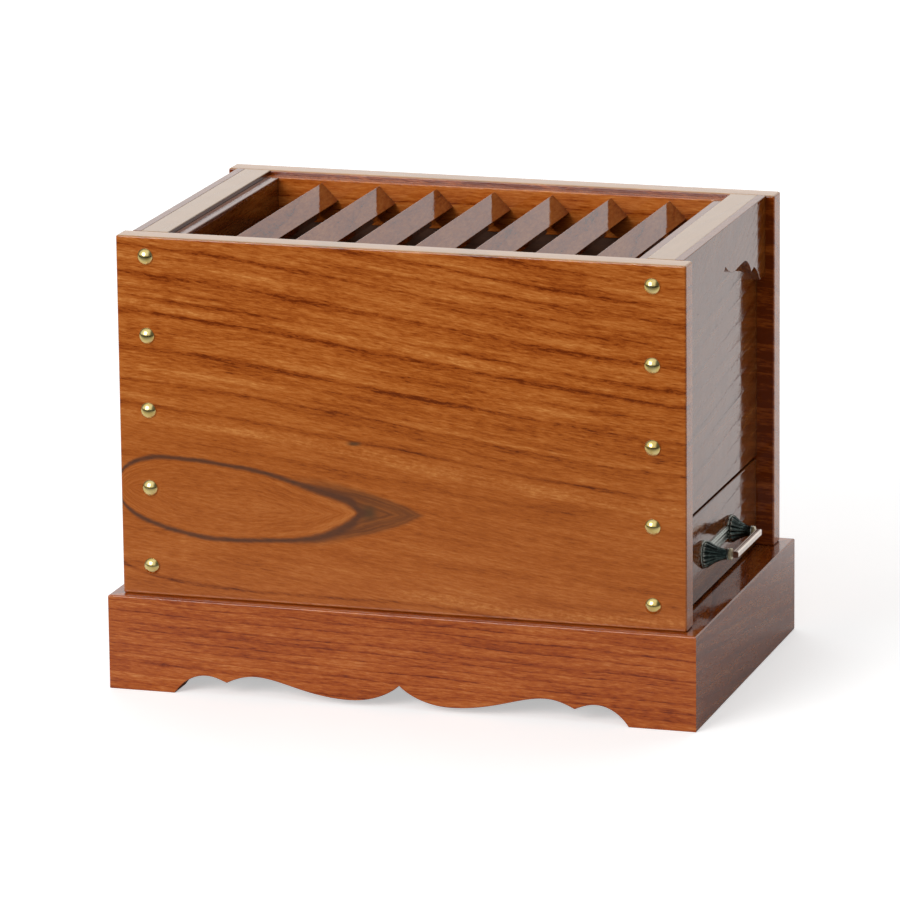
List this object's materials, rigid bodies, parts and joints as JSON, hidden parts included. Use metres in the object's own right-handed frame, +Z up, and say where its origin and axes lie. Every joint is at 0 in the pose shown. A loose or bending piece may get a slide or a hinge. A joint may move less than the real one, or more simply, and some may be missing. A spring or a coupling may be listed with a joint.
{
  "type": "offertory box",
  "caption": "Wooden offertory box with a slatted top, nailed side boards, carved side aprons, a scalloped plinth and a coin drawer with a bronze pull in one side.",
  "frame": {"origin": "middle of the plinth's underside, on the surface that the box stands on", "axes": "+X along the front towards the drawer's side, -Y towards the giver's front, +Z up"},
  "size_m": [0.3662, 0.234, 0.277],
  "materials": {
    "zelkova_boards": "gloss clear coat over orange-brown zelkova",
    "zelkova_plinth": "gloss clear coat over redder, straight-grained zelkova",
    "zelkova_lattice": "gloss clear coat over pale zelkova",
    "inside_wood": "bare planed softwood",
    "bamboo": "bare",
    "brass_nails": "polished",
    "dark_bronze": "dark green-black patina",
    "bright_bronze": "rubbed bright along the edges",
    "old_gold": "dull gold",
    "steel": "plain"
  },
  "bodies": {
    "case": {"front_board": "zelkova_boards", "back_board": "zelkova_boards", "left_side_panel": "zelkova_boards", "right_side_panel": "zelkova_boards", "left_apron": "zelkova_boards", "right_apron": "zelkova_boards", "plinth_front": "zelkova_plinth", "plinth_back": "zelkova_plinth", "plinth_left": "zelkova_plinth", "plinth_right": "zelkova_plinth", "bottom_board": "inside_wood", "corner_block_1": "inside_wood", "corner_block_2": "inside_wood", "corner_block_3": "inside_wood", "corner_block_4": "inside_wood", "lattice_rail_front": "zelkova_lattice", "lattice_rail_back": "zelkova_lattice", "lattice_rail_left": "zelkova_lattice", "lattice_rail_right": "zelkova_lattice", "slat_1": "zelkova_lattice", "slat_2": "zelkova_lattice", "slat_3": "zelkova_lattice", "slat_4": "zelkova_lattice", "slat_5": "zelkova_lattice", "slat_6": "zelkova_lattice", "slat_7": "zelkova_lattice", "cleat_front": "inside_wood", "cleat_back": "inside_wood", "cleat_left": "inside_wood", "cleat_right": "inside_wood", "runner_front": "inside_wood", "runner_back": "inside_wood", "tilt_rail_front": "inside_wood", "tilt_rail_back": "inside_wood", "front_nails": "brass_nails", "back_nails": "brass_nails", "bottom_screws": "steel"},
    "drawer": {"drawer_front": "zelkova_boards", "drawer_side_front": "inside_wood", "drawer_side_back": "inside_wood", "drawer_rear": "inside_wood", "drawer_bottom": "inside_wood", "drawer_pegs": "bamboo", "pull_plate": "dark_bronze", "pull_post_front": "dark_bronze", "pull_post_back": "dark_bronze", "pull_collar_front": "old_gold", "pull_collar_back": "old_gold", "pull_bar": "bright_bronze", "pull_screws": "steel"}
  },
  "joints": [
    {"name": "drawer_slide", "type": "slide", "parent": "case", "child": "drawer", "axis": [1, 0, 0], "range_m": [0, 0.25]}
  ]
}
